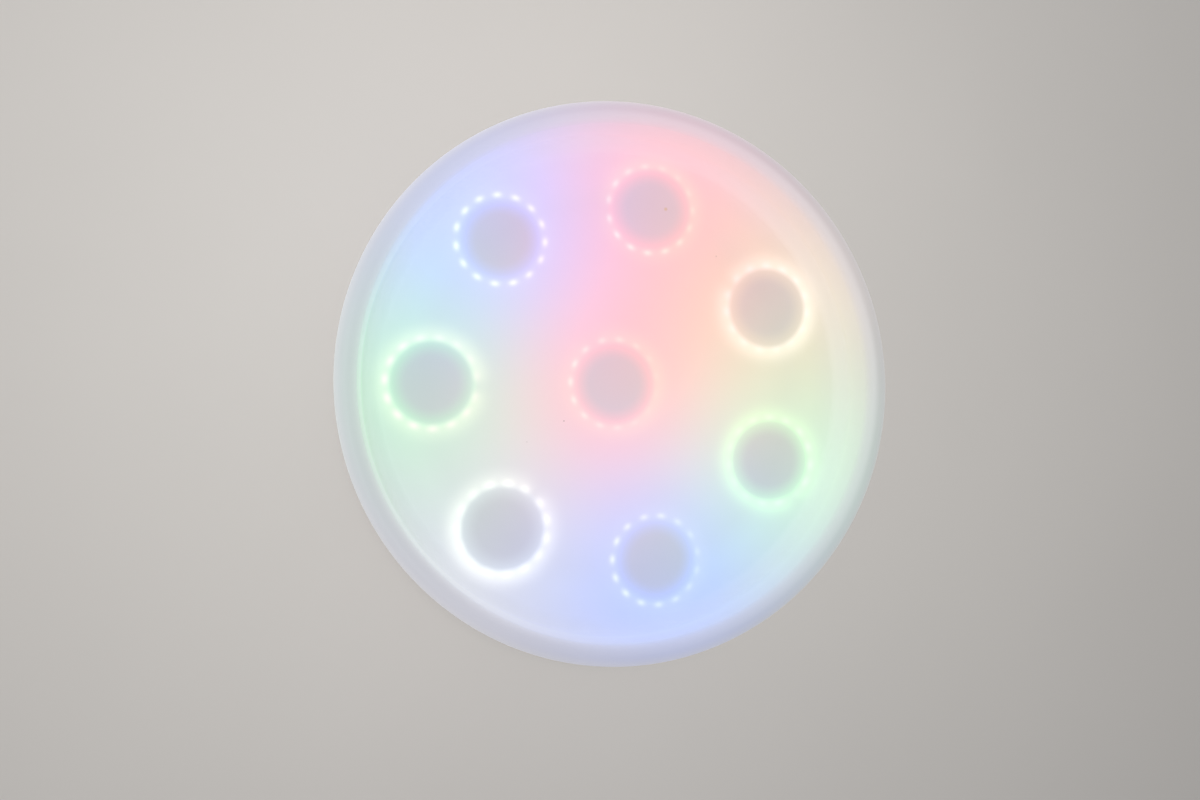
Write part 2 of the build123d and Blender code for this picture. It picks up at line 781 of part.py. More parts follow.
# Control pocket: a tray turned upside down, with collars above its ceiling and hinge ears below it
hinge_x = socket_x + cover_hinge_offset
socket_face_z = ceiling_z - socket_flange_thickness
cover_top_z = socket_face_z - moving_gap
hinge_z = cover_top_z - cover_thickness / 2
ear_centre = knuckle_length / 2 + moving_gap + ear_thickness / 2
collar_bore_radius = button_flange_radius + collar_gap
with BuildPart() as control_pocket:
    with BuildSketch(Plane((0, pocket_y, pocket_flange_z))):
        RectangleRounded(
            pocket_outer_length + 2 * pocket_flange,
            pocket_outer_width + 2 * pocket_flange,
            pocket_corner_radius + pocket_wall + pocket_flange,
        )
    extrude(amount=pocket_flange_thickness)
    with BuildSketch(Plane((0, pocket_y, pocket_flange_z))):
        RectangleRounded(pocket_outer_length, pocket_outer_width, pocket_corner_radius + pocket_wall)
    extrude(amount=pocket_depth + pocket_ceiling)
    with BuildSketch(Plane((0, pocket_y, pocket_flange_z))):
        RectangleRounded(pocket_length, pocket_width, pocket_corner_radius)
    extrude(amount=pocket_depth, mode=Mode.SUBTRACT)
    with BuildSketch(Plane((0, pocket_y, ceiling_top_z))):
        with Locations((power_x, 0), (mode_x, 0)):
            Circle(collar_bore_radius + collar_wall)
            Circle(collar_bore_radius, mode=Mode.SUBTRACT)
    extrude(amount=collar_height)
    with BuildSketch(Plane((hinge_x, pocket_y, ceiling_z))):
        with Locations((0, -ear_centre), (0, ear_centre)):
            Rectangle(ear_width, ear_thickness)
    extrude(amount=-ear_reach)
    with BuildSketch(facing_near(hinge_x, pocket_y, hinge_z)):
        Circle(hinge_pin_radius + thread_gap)
    extrude(amount=ear_centre + ear_thickness, both=True, mode=Mode.SUBTRACT)
    with BuildSketch(Plane((0, pocket_y, ceiling_z))):
        with Locations((power_x, 0), (mode_x, 0)):
            Circle(button_radius + moving_gap)
        with Locations((socket_x, 0)):
            Circle(socket_thread_radius + thread_gap)
        with Locations((light_x, 0)):
            Circle(light_radius + thread_gap)
    extrude(amount=pocket_ceiling, mode=Mode.SUBTRACT)
    with BuildSketch(Plane.XY.offset(pocket_flange_z)):
        with Locations(*pocket_screw_places):
            Circle(m3_radius + hole_gap)
    extrude(amount=pocket_flange_thickness, mode=Mode.SUBTRACT)
parts["control_pocket"] = control_pocket


# Buttons that are pressed upwards from below, and what stands behind them
button_flange_z = ceiling_top_z + moving_gap
button_flange_top_z = button_flange_z + button_flange_thickness
switch_z = ceiling_top_z + collar_height - switch_plug_length
switch_top_z = ceiling_top_z + collar_height + switch_cap_height
switch_bore_z = switch_top_z - switch_roof


# A raised bar marks the power button and a raised ring the mode button
with BuildSketch() as bar_mark:
    SlotOverall(button_radius, button_mark_width)
with BuildSketch() as ring_mark:
    Circle(button_radius / 2)
    Circle(button_radius / 2 - button_mark_width / 2, mode=Mode.SUBTRACT)


def push_button(x, mark):
    """A marked cap through the ceiling, a flange that stops it from falling out, and a stem."""
    with BuildPart() as button:
        with BuildSketch(Plane((x, pocket_y, ceiling_z - button_reach))):
            Circle(button_radius)
        extrude(amount=button_flange_z - ceiling_z + button_reach)
        chamfer(button.faces().sort_by(Axis.Z)[0].edges(), button_mark_height)
        with BuildSketch(Plane((x, pocket_y, ceiling_z - button_reach))):
            add(mark)
        extrude(amount=-button_mark_height)
        with BuildSketch(Plane((x, pocket_y, button_flange_z))):
            Circle(button_flange_radius)
        extrude(amount=button_flange_thickness)
        with BuildSketch(Plane((x, pocket_y, button_flange_top_z))):
            Circle(button_stem_radius)
        extrude(amount=switch_bore_z - button_travel - moving_gap - button_flange_top_z)
    return button


def push_switch(x):
    """A switch that plugs the collar and takes the button's stem."""
    with BuildPart() as switch:
        with BuildSketch(Plane((x, pocket_y, switch_z))):
            Circle(collar_bore_radius - thread_gap)
        extrude(amount=switch_plug_length)
        with BuildSketch(Plane((x, pocket_y, ceiling_top_z + collar_height))):
            Circle(collar_bore_radius + collar_wall)
        extrude(amount=switch_cap_height)
        with BuildSketch(Plane((x, pocket_y, switch_z))):
            Circle(button_stem_radius + moving_gap)
        extrude(amount=switch_bore_z - switch_z, mode=Mode.SUBTRACT)
    return switch


def return_spring(x):
    """A coil spring between the button's flange and the switch."""
    spring_start_z = button_flange_top_z + spring_wire_radius + thread_gap
    spring_height = switch_z - button_flange_top_z - 2 * (spring_wire_radius + thread_gap)
    with BuildPart() as spring:
        with BuildLine() as coil:
            spring_pitch = spring_height / spring_turns
            Helix(spring_pitch, spring_height, spring_radius, center=(x, pocket_y, spring_start_z))
        with BuildSketch(Plane(origin=coil.line @ 0, z_dir=coil.line % 0)):
            Circle(spring_wire_radius)
        sweep(path=coil.line, is_frenet=True)
    return spring


for name, x, mark in (("power", power_x, bar_mark.sketch), ("mode", mode_x, ring_mark.sketch)):
    parts[f"{name}_button"] = push_button(x, mark)
    parts[f"{name}_switch"] = push_switch(x)
    parts[f"{name}_spring"] = return_spring(x)

# Charging socket, held by its nut above the ceiling
with BuildPart() as charge_socket:
    with BuildSketch(Plane((socket_x, pocket_y, socket_face_z))):
        Circle(socket_flange_radius)
    extrude(amount=socket_flange_thickness)
    with BuildSketch(Plane((socket_x, pocket_y, ceiling_z))):
        Circle(socket_thread_radius)
    extrude(amount=socket_body_height)
    with BuildSketch(Plane((socket_x, pocket_y, socket_face_z))):
        Circle(socket_bore_radius)
    extrude(amount=socket_bore_depth, mode=Mode.SUBTRACT)
    with BuildSketch(Plane((socket_x, pocket_y, socket_face_z + socket_pin_recess))):
        Circle(socket_pin_radius)
    extrude(amount=socket_bore_depth)
    with BuildSketch(Plane((socket_x, pocket_y, ceiling_z + socket_body_height))):
        with GridLocations(socket_tab_spacing, 0, 2, 1):
            Rectangle(socket_tab_thickness, socket_tab_width)
    extrude(amount=socket_tab_height)
parts["charge_socket"] = charge_socket

with BuildPart() as charge_socket_nut:
    with BuildSketch(Plane((socket_x, pocket_y, ceiling_top_z))):
        RegularPolygon(nut_flats / 2, 6, major_radius=False)
        Circle(socket_thread_radius + thread_gap, mode=Mode.SUBTRACT)
    extrude(amount=nut_height)
parts["charge_socket_nut"] = charge_socket_nut

# Socket cover: a disc with a finger tab, and a knuckle round its hinge pin
with BuildPart() as charge_socket_cover:
    with BuildSketch(Plane((socket_x, pocket_y, cover_top_z - cover_thickness))):
        Circle(cover_radius)
        with Locations((cover_hinge_offset / 2, 0)):
            Rectangle(cover_hinge_offset, cover_arm_width)
        with Locations((-(cover_radius + cover_tab_length) / 2, 0)):
            Rectangle(cover_radius + cover_tab_length, cover_arm_width)
    extrude(amount=cover_thickness)
    with BuildSketch(facing_near(hinge_x, pocket_y, hinge_z)):
        Circle(knuckle_radius)
    extrude(amount=knuckle_length / 2, both=True)
    with BuildSketch(facing_near(hinge_x, pocket_y, hinge_z)):
        Circle(hinge_pin_radius + hinge_running_gap)
    extrude(amount=knuckle_length / 2, both=True, mode=Mode.SUBTRACT)
parts["charge_socket_cover"] = charge_socket_cover

with BuildPart() as cover_hinge_pin:
    with BuildSketch(facing_near(hinge_x, pocket_y, hinge_z)):
        Circle(hinge_pin_radius)
    extrude(amount=ear_centre + ear_thickness / 2, both=True)
parts["cover_hinge_pin"] = cover_hinge_pin

with BuildPart() as status_light:
    with BuildSketch(Plane((light_x, pocket_y, ceiling_z - light_reach))):
        Circle(light_radius)
    extrude(amount=light_reach + pocket_ceiling)
    fillet(status_light.faces().sort_by(Axis.Z)[0].edges(), light_reach / 2)
    with BuildSketch(Plane((light_x, pocket_y, ceiling_top_z))):
        Circle(light_flange_radius)
    extrude(amount=light_flange_height)
    with BuildSketch(Plane((light_x, pocket_y, ceiling_top_z + light_flange_height))):
        Circle(light_radius)
    extrude(amount=light_body_height)
parts["status_light"] = status_light

# Leads from the pocket's devices and the battery pack to the board's front edge
light_top_z = ceiling_top_z + light_flange_height + light_body_height
socket_top_z = ceiling_z + socket_body_height
device_tops = [
    (power_x, switch_top_z),
    (mode_x, switch_top_z),
    (light_x, light_top_z),
    (socket_x, socket_top_z),
]
with BuildPart() as inner_leads:
    for (device_x, device_z), connector_x in zip(device_tops, connector_xs):
        rise_z = switch_top_z + lead_rise
        route = [
            (device_x, pocket_y, device_z),
            (device_x, pocket_y, rise_z),
            (connector_x, connector_front_y - lead_drop_distance, connector_z),
            (connector_x, connector_front_y - lead_end_gap, connector_z),
        ]
        add(lead(route, lead_radius, lead_bend).part)
    battery_connector_x = connector_xs[-1]
    battery_lead_x = pack_x - pack_half_width + cell_radius + wrap_thickness
    battery_end_y = pack_y - pack_length / 2 - lead_end_gap
    turn_y = connector_front_y - lead_rise
    route = [
        (battery_connector_x, connector_front_y - lead_end_gap, connector_z),
        (battery_connector_x, turn_y, connector_z),
        (battery_lead_x, turn_y, connector_z),
        (battery_lead_x, battery_end_y, connector_z),
    ]
    add(lead(route, lead_radius, lead_bend).part)
parts["inner_leads"] = inner_leads

os.makedirs("parts", exist_ok=True)
for name, piece in parts.items():
    piece.part.label = name
    export_step(piece.part, f"parts/{name}.step")
print(len(parts), "nodes")
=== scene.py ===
import json
from collections import namedtuple
from functools import reduce
from math import cos, pi, radians, sin, tan

import bmesh
import bpy
from mathutils import Matrix, Vector


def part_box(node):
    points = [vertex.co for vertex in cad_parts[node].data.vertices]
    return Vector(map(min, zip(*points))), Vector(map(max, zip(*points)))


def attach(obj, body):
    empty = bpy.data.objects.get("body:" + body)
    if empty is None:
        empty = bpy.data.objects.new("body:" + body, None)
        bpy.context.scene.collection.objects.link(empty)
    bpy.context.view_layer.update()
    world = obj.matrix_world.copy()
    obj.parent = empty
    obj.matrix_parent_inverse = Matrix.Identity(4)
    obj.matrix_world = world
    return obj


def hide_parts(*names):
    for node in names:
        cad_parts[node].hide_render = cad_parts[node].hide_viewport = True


# Looks of a round sensory light table: a satin, milky body lit from inside by eight rings of coloured
# lights, on a plain floor in soft daylight. Metres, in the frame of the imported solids.

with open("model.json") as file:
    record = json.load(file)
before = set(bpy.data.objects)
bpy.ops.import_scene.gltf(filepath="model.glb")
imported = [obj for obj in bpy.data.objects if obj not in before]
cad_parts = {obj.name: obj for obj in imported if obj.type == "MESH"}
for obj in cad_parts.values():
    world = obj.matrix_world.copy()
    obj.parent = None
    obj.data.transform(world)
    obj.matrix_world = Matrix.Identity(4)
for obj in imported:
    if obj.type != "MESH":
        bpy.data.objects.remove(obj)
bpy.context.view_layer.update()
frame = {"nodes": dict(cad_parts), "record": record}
nodes = frame["nodes"]
mounts = {mount["name"]: mount for mount in frame["record"]["mounts"]}
MM = 0.001

# Sizes of the body, taken from the frame where it holds them and else the same as in the solids
shell_low, shell_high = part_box("body_shell")
rim_outer_radius = shell_high.x
table_height = shell_high.z
shell_foot_z = shell_low.z
tray_z = mounts["tray_surface"]["pos_m"][2]
flange_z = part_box("base_gasket")[1].z
plate_gap = 1 * MM
rebate_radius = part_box("base_plate")[1].x + plate_gap
flange_width = 19 * MM
shell_wall = 4 * MM
rim_width = 20 * MM
rim_corner_radius = 9.95 * MM
tray_wall_draft = 4 * MM
tray_corner_radius = 16 * MM
shell_draft = 9 * MM
shell_foot_radius = 12 * MM
parting_line_drop = 24 * MM
parting_line_height = 0.9 * MM
parting_line_reach = 0.22 * MM
boss_count = 12
boss_radius = 5.9 * MM
boss_height = 13.5 * MM
bore_radius = 2.9 * MM
bore_depth = 10.5 * MM
turn_steps = 288
arc_steps = 12
boss_steps = 32
longest_step = 18 * MM
sharp_angle = radians(35)

# The pods: names as in the nodes. Angles, in degrees: where the joint of the strip points, where the ring
# shows its gap, one of its lights, and the side on which the lights show most. Then how much weaker they
# show on the other side, how strongly they show, how much of its colour's far glow the pod gives, and how
# much darker its disc makes the skin: partly its grey plate showing through, partly painted shade, most
# over the pods on the left.
Pod = namedtuple("Pod", "colour joint gap light bright_side dimming strength share shade")
pods = {
    "centre": Pod("red", 118, 118, 10, 165, 0.9, 0.9, 1.0, 0.05),
    "1": Pod("red", 188, 181, 1, 225, 0.75, 1.1, 0.8, 0.03),
    "2": Pod("amber", 148, 150, 18, 140, 0.5, 1.0, 1.0, 0.04),
    "3": Pod("green", -55, -57, 17.5, 30, 0.5, 1.0, 1.0, 0.04),
    "4": Pod("blue", 118, 117.5, 9.5, 175, 0.7, 0.95, 1.0, 0.05),
    "5": Pod("white", 47, 46.5, 10.5, 45, 0.7, 1.0, 1.0, 0.06),
    "6": Pod("mint", -7, -4.5, 7.5, 215, 0.6, 1.0, 1.0, 0.09),
    "7": Pod("blue", -40, -38, 22, 240, 0.2, 1.15, 1.0, 0.09),
}
led_count = 15
led_radius = 40.6 * MM
led_pitch = 2 * pi * led_radius / led_count
disc_radius = 37.2 * MM

# Glow of each colour: far over the skin, close round the ring, and hazy inside it
far_glow = {
    "red": (0.51, 0.015, 0.0),
    "amber": (0.27, 0.185, 0.005),
    "green": (0.133, 0.365, 0.125),
    "blue": (0.0, 0.105, 0.455),
    "white": (0.175, 0.195, 0.195),
    "mint": (0.025, 0.28, 0.035),
}
near_glow = {
    "red": (0.015, 0.04, 0.01),
    "amber": (0.14, 0.135, 0.125),
    "green": (0.065, 0.135, 0.04),
    "blue": (0.02, 0.02, 0.01),
    "white": (0.14, 0.14, 0.11),
    "mint": (0.11, 0.105, 0.055),
}
haze_glow = {
    "red": (0.05, 0.0, 0.0),
    "amber": (0.02, 0.02, 0.04),
    "green": (0.0, 0.07, 0.0),
    "blue": (0.0, 0.01, 0.11),
    "white": (0.02, 0.04, 0.04),
    "mint": (0.0, 0.06, 0.01),
}
# What each single light adds, and how far it spreads along the ring and across it
dot_glow = {
    "red": ((0.04, 0.19, 0.13), 4.0 * MM, 2.6 * MM),
    "amber": ((0.03, 0.065, 0.10), 4.6 * MM, 3.4 * MM),
    "green": ((0.08, 0.03, 0.08), 4.8 * MM, 3.2 * MM),
    "blue": ((0.26, 0.27, 0.05), 4.0 * MM, 2.6 * MM),
    "white": ((0.2, 0.2, 0.15), 5.2 * MM, 3.6 * MM),
    "mint": ((0.235, 0.05, 0.135), 5.0 * MM, 3.2 * MM),
}
led_colours = {
    "red": (1.0, 0.16, 0.14),
    "amber": (1.0, 0.55, 0.16),
    "green": (0.25, 1.0, 0.22),
    "blue": (0.16, 0.24, 1.0),
    "white": (0.95, 0.97, 1.0),
    "mint": (0.20, 1.0, 0.50),
}
far_reach = 105 * MM
near_reach = 10 * MM
haze_reach = 12 * MM
# Where each of them begins and ends at the edge of the disc
far_edge = (disc_radius - 16 * MM, disc_radius + 4 * MM)
near_edge = (disc_radius - 3 * MM, disc_radius + 3.4 * MM)
haze_edge = (disc_radius, led_radius + 2 * MM)
plate_edge = (disc_radius - 6 * MM, disc_radius + 2 * MM)
# How much of its own far glow reaches the middle of a disc
disc_glow = 0.4
# How narrow a ring's gap is, and how much it dims the ring
gap_narrowness = 60.0
gap_dimming = 0.6
# How much the glow gains at the edge of the tray, as painted light against the shade of its wall, and what
# is left of it over the rim and on the outside
painted_edge_gain = 0.16
wall_loss = 0.27
rim_level = 0.66
side_level = 0.32
side_reach = 140 * MM
# Where these levels set in: across the tray, at the top of the rim, and below the tray
tray_radius = rim_outer_radius - rim_width - tray_wall_draft
rim_middle = rim_outer_radius - rim_width / 2
painted_edge_zone = (tray_radius - 60 * MM, tray_radius - 30 * MM)
rim_zone = (table_height - 11 * MM, table_height + 3 * MM)
below_zone = (tray_z - 40 * MM, tray_z - 10 * MM)
# Painted light on the milky wall where it leans, in place of its shade, with more of it over the rim and on
# the outside. Within the rim it grows to the left, and beyond it to the back, by these shares for each
# metre.
painted_wall_light = (0.295, 0.292, 0.29)
painted_lean_power = 0.75
painted_rim_share = 0.12
painted_outside_share = 0.5
painted_leftward_share = -1.0
painted_backward_share = 0.8
# Specks on the tray: their places on the plan, their radii, and what they leave of each colour
specks = [
    ((-47.1 * MM, -34.2 * MM), 1.0 * MM, (0.62, 0.60, 0.58)),
    ((-81.1 * MM, -52.9 * MM), 0.8 * MM, (0.80, 0.79, 0.78)),
    ((100.0 * MM, 120.0 * MM), 1.1 * MM, (0.82, 0.80, 0.78)),
    ((51.4 * MM, 162.9 * MM), 2.3 * MM, (0.95, 0.88, 0.62)),
]


class Tree:
    """Short calls that add nodes to a material's tree."""

    def __init__(self, tree):
        self.tree = tree

    def put(self, socket, value):
        if isinstance(value, bpy.types.NodeSocket):
            self.tree.links.new(value, socket)
        else:
            socket.default_value = value

    def node(self, kind, *values, **settings):
        """A node of a kind with its first inputs filled in."""
        made = self.tree.nodes.new(kind)
        for key, setting in settings.items():
            setattr(made, key, setting)
        for socket, value in zip(made.inputs, values):
            self.put(socket, value)
        return made

    def math(self, operation, *values):
        return self.node("ShaderNodeMath", *values, operation=operation).outputs[0]

    def vector(self, operation, *values):
        made = self.node("ShaderNodeVectorMath", *values, operation=operation)
        return made.outputs["Value" if operation == "LENGTH" else "Vector"]

    def scaled(self, vector, factor):
        made = self.node("ShaderNodeVectorMath", vector, operation="SCALE")
        self.put(made.inputs["Scale"], factor)
        return made.outputs["Vector"]

    def total(self, *vectors):
        """The sum of several vectors or colours."""
        whole = vectors[0]
        for vector in vectors[1:]:
            whole = self.vector("ADD", whole, vector)
        return whole

    def times(self, *values):
        """The product of several numbers."""
        whole = values[0]
        for value in values[1:]:
            whole = self.math("MULTIPLY", whole, value)
        return whole

    def smooth(self, value, start, end, low=0.0, high=1.0):
        """A smooth step from low at start to high at end."""
        made = self.node("ShaderNodeMapRange", value, interpolation_type="SMOOTHSTEP")
        for socket, number in zip(made.inputs[1:5], (start, end, low, high)):
            self.put(socket, number)
        return made.outputs["Result"]

    def varied(self, noise, low, high):
        """A noise, most of which lies in the middle of 0 to 1, spread from low to high."""
        return self.smooth(noise, 0.3, 0.7, low, high)

    def fade(self, distance, reach):
        """Falls to one over e with each reach of distance, and is 1 where the distance is negative."""
        return self.math("EXPONENT", self.math("DIVIDE", self.math("MAXIMUM", distance, 0.0), -reach))

    def bell(self, distance, reach):
        """A bell curve that falls to one over e at its reach."""
        ratio = self.math("DIVIDE", distance, reach)
        return self.math("EXPONENT", self.times(ratio, ratio, -1.0))

    def mix(self, factor, first, second):
        """A colour between two others."""
        made = self.node("ShaderNodeMix", data_type="RGBA")
        found = {socket.identifier: socket for socket in made.inputs}
        for key, value in (("Factor_Float", factor), ("A_Color", first), ("B_Color", second)):
            self.put(found[key], (*value, 1.0) if isinstance(value, tuple) else value)
        return next(socket for socket in made.outputs if socket.identifier == "Result_Color")

    def place(self):
        """Where a point of the object is, in metres."""
        return self.node("ShaderNodeTexCoord").outputs["Object"]

    def split(self, vector):
        return self.node("ShaderNodeSeparateXYZ", vector).outputs

    def stretched(self, vector, *factors):
        return self.vector("MULTIPLY", vector, factors)

    def noise(self, vector, size, detail=3.0):
        """Noise from 0 to 1 whose blots are about as large as size."""
        made = self.node("ShaderNodeTexNoise", vector)
        self.put(made.inputs["Scale"], 1 / size)
        self.put(made.inputs["Detail"], detail)
        return made.outputs["Fac"]

    def cells(self, vector, size):
        """Distance to the nearest of points that lie about a size apart, in sizes."""
        made = self.node("ShaderNodeTexVoronoi", vector)
        self.put(made.inputs["Scale"], 1 / size)
        return made.outputs["Distance"]

    def bump(self, height, depth):
        """A normal for a height from 0 to 1 that stands for a depth in metres."""
        made = self.node("ShaderNodeBump")
        self.put(made.inputs["Distance"], depth)
        self.put(made.inputs["Height"], height)
        return made.outputs["Normal"]


def new_material(name):
    """A material, its Principled shader's inputs and its tree."""
    material = bpy.data.materials.new(name)
    material.use_nodes = True
    return material, material.node_tree.nodes["Principled BSDF"].inputs, Tree(material.node_tree)


def pod_middle(name):
    """The middle of a pod on the plan, from its touch plate."""
    low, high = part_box(f"touch_plate_{name}")
    return (low.x + high.x) / 2, (low.y + high.y) / 2, 0.0


# The body's moulding, turned from its outline
def rounded(corners):
    """A line through corners, each (r, z, radius), with its corners rounded."""
    points = [Vector(corners[0][:2])]
    for before, corner, after in zip(corners, corners[1:], corners[2:]):
        at = Vector(corner[:2])
        if not corner[2]:
            points.append(at)
            continue
        back = (Vector(before[:2]) - at).normalized()
        ahead = (Vector(after[:2]) - at).normalized()
        half = back.angle(ahead) / 2
        middle = at + (back + ahead).normalized() * corner[2] / sin(half)
        start = (at + back * corner[2] / tan(half) - middle).normalized()
        end = (at + ahead * corner[2] / tan(half) - middle).normalized()
        spokes = [start.slerp(end, step / arc_steps) for step in range(arc_steps + 1)]
        points.extend(middle + spoke * corner[2] for spoke in spokes)
    return [*points, Vector(corners[-1][:2])]


def divided(points):
    """The same line with its long stretches cut into short ones."""
    cut = [points[0]]
    for start, end in zip(points, points[1:]):
        pieces = max(1, round((end - start).length / longest_step))
        cut.extend(start.lerp(end, step / pieces) for step in range(1, pieces + 1))
    return cut


def inset(before, corner, after):
    """Where the lines through three corners meet again once both have moved in by the wall."""
    lines = []
    for start, end in ((before, corner), (corner, after)):
        along = (Vector(end[:2]) - Vector(start[:2])).normalized()
        lines.append((Vector(start[:2]) + Vector((along.y, -along.x)) * shell_wall, along))
    (first, along), (second, other) = lines
    gap = second - first
    return first + along * (gap.x * other.y - gap.y * other.x) / (along.x * other.y - along.y * other.x)


def wall_radius(z):
    """The radius of the outer wall at a height."""
    lean = shell_draft / (table_height - rim_width / 2 - shell_foot_z)
    return rim_outer_radius - shell_draft + lean * (z - shell_foot_z)


def shell_outline():
    """The outline of the body's wall: the skin outside, then the foot, then the skin inside."""
    lean = tray_wall_draft / (table_height - rim_width / 2 - tray_z)
    skin = [
        (0, tray_z, 0),
        (tray_radius, tray_z, tray_corner_radius),
        (tray_radius + lean * (table_height - tray_z), table_height, rim_corner_radius),
        (wall_radius(table_height), table_height, rim_corner_radius),
        (wall_radius(shell_foot_z), shell_foot_z, shell_foot_radius),
        (rebate_radius, shell_foot_z, 0),
    ]
    # A rounding outside the wall shrinks by the wall on the inside, and the tray's corner grows by it
    inside = [(*inset(*skin[:3]), tray_corner_radius + shell_wall)]
    inside += [(*inset(*skin[at - 1:at + 2]), skin[at][2] - shell_wall) for at in (2, 3, 4)]
    line_z = table_height - parting_line_drop
    bead = [
        (wall_radius(line_z + parting_line_height / 2), line_z + parting_line_height / 2, 0),
        (wall_radius(line_z) + parting_line_reach, line_z, 0),
        (wall_radius(line_z - parting_line_height / 2), line_z - parting_line_height / 2, 0),
    ]
    foot = [
        (rebate_radius, flange_z, 0),
        (rebate_radius - flange_width, flange_z, 0),
        (rebate_radius - flange_width, flange_z + shell_wall, 0),
        (rebate_radius + shell_wall, flange_z + shell_wall, 0),
        (rebate_radius + shell_wall, shell_foot_z + shell_wall, 0),
    ]
    ends = [(0, tray_z - shell_wall, 0)]
    return divided(rounded([*skin[:4], *bead, *skin[4:], *foot, *reversed(inside), *ends]))


# The body's map for baking: the top as a disc, the outer wall as a strip below it, and the rest in a
# column beside it. Each strip is (low u, high u, low v, high v).
map_middle = (0.39, 0.605)
map_radius = 0.38
wall_strip = (0.01, 0.99, 0.015, 0.185)
foot_strip = (0.80, 0.84, 0.22, 0.985)
inner_strip = (0.86, 0.97, 0.22, 0.985)
boss_spot = (0.985, 0.5)


def map_disc(turn, share):
    angle = 2 * pi * turn
    return map_middle[0] + map_radius * share * cos(angle), map_middle[1] + map_radius * share * sin(angle)


def map_wall(turn, share):
    low_u, high_u, low_v, high_v = wall_strip
    return low_u + turn * (high_u - low_u), high_v + share * (low_v - high_v)


def map_column(strip, turn, share):
    low_u, high_u, low_v, high_v = strip
    return low_u + share * (high_u - low_u), low_v + turn * (high_v - low_v)


def turned(outline, name):
    """A closed mesh turned from an outline that starts and ends on the axis, with its map."""
    made = bmesh.new()
    chart = made.loops.layers.uv.new("OFBake")
    lengths = [0.0]
    for start, end in zip(outline, outline[1:]):
        lengths.append(lengths[-1] + (end - start).length)
    widest = max(range(len(outline)), key=lambda ring: outline[ring].x)
    foot = max(ring for ring, point in enumerate(outline) if point.y == shell_foot_z)
    band = min(ring for ring in range(foot, len(outline)) if outline[ring].y > flange_z)
    zones = [
        (0, widest, map_disc),
        (widest, foot, map_wall),
        (foot, band, lambda turn, share: map_column(foot_strip, turn, share)),
        (band, len(outline) - 1, lambda turn, share: map_column(inner_strip, turn, share)),
    ]
    rings = []
    for point in outline:
        steps = turn_steps if point.x else 1
        angles = [2 * pi * step / steps for step in range(steps)]
        rings.append([made.verts.new((point.x * cos(a), point.x * sin(a), point.y)) for a in angles])
    for first, last, chart_place in zones:
        for ring in range(first, last):
            for step in range(turn_steps):
                corners = [(ring, step), (ring + 1, step), (ring + 1, step + 1), (ring, step + 1)]
                corners = [at for at in corners if outline[at[0]].x or at[1] == step]
                face = made.faces.new([rings[row][at % len(rings[row])] for row, at in corners])
                face.smooth = True
                for loop, (row, at) in zip(face.loops, corners):
                    share = (lengths[row] - lengths[first]) / (lengths[last] - lengths[first])
                    loop[chart].uv = chart_place(at / turn_steps, share)
    bmesh.ops.recalc_face_normals(made, faces=made.faces)
    return finished(made, name)


def finished(made, name):
    """An object of a bmesh, with its sharp edges marked."""
    for edge in made.edges:
        if len(edge.link_faces) == 2:
            edge.smooth = edge.calc_face_angle() < sharp_angle
    mesh = bpy.data.meshes.new(name)
    made.to_mesh(mesh)
    made.free()
    piece = bpy.data.objects.new(name, mesh)
    bpy.context.scene.collection.objects.link(piece)
    return piece


def drums(name, radius, low, high):
    """Closed upright cylinders on the circle of the base plate's screws."""
    made = bmesh.new()
    chart = made.loops.layers.uv.new("OFBake")
    circle = rebate_radius - flange_width / 2
    for index in range(boss_count):
        angle = 2 * pi * (index + 0.5) / boss_count
        at = Matrix.Translation((circle * cos(angle), circle * sin(angle), (low + high) / 2))
        sizes = {"radius1": radius, "radius2": radius, "depth": high - low}
        bmesh.ops.create_cone(made, cap_ends=True, segments=boss_steps, matrix=at, **sizes)
    for face in made.faces:
        face.smooth = True
        for loop in face.loops:
            loop[chart].uv = boss_spot
    return finished(made, name)


def combined(piece, tool, operation):
    """Joins a tool to a piece or cuts it out, and removes the tool."""
    modifier = piece.modifiers.new(operation, "BOOLEAN")
    modifier.operation = operation
    modifier.object = tool
    modifier.solver = "EXACT"
    bpy.context.view_layer.update()
    mesh = bpy.data.meshes.new_from_object(piece.evaluated_get(bpy.context.evaluated_depsgraph_get()))
    piece.modifiers.clear()
    piece.data = mesh
    bpy.data.objects.remove(tool)


def body_moulding():
    """The rotomoulded body: one wall all round, with a boss over each insert."""
    shell = turned(shell_outline(), "shell_moulding")
    combined(shell, drums("bosses", boss_radius, flange_z + shell_wall / 2, flange_z + boss_height), "UNION")
    combined(shell, drums("bores", bore_radius, flange_z - shell_wall, flange_z + bore_depth), "DIFFERENCE")
    return shell
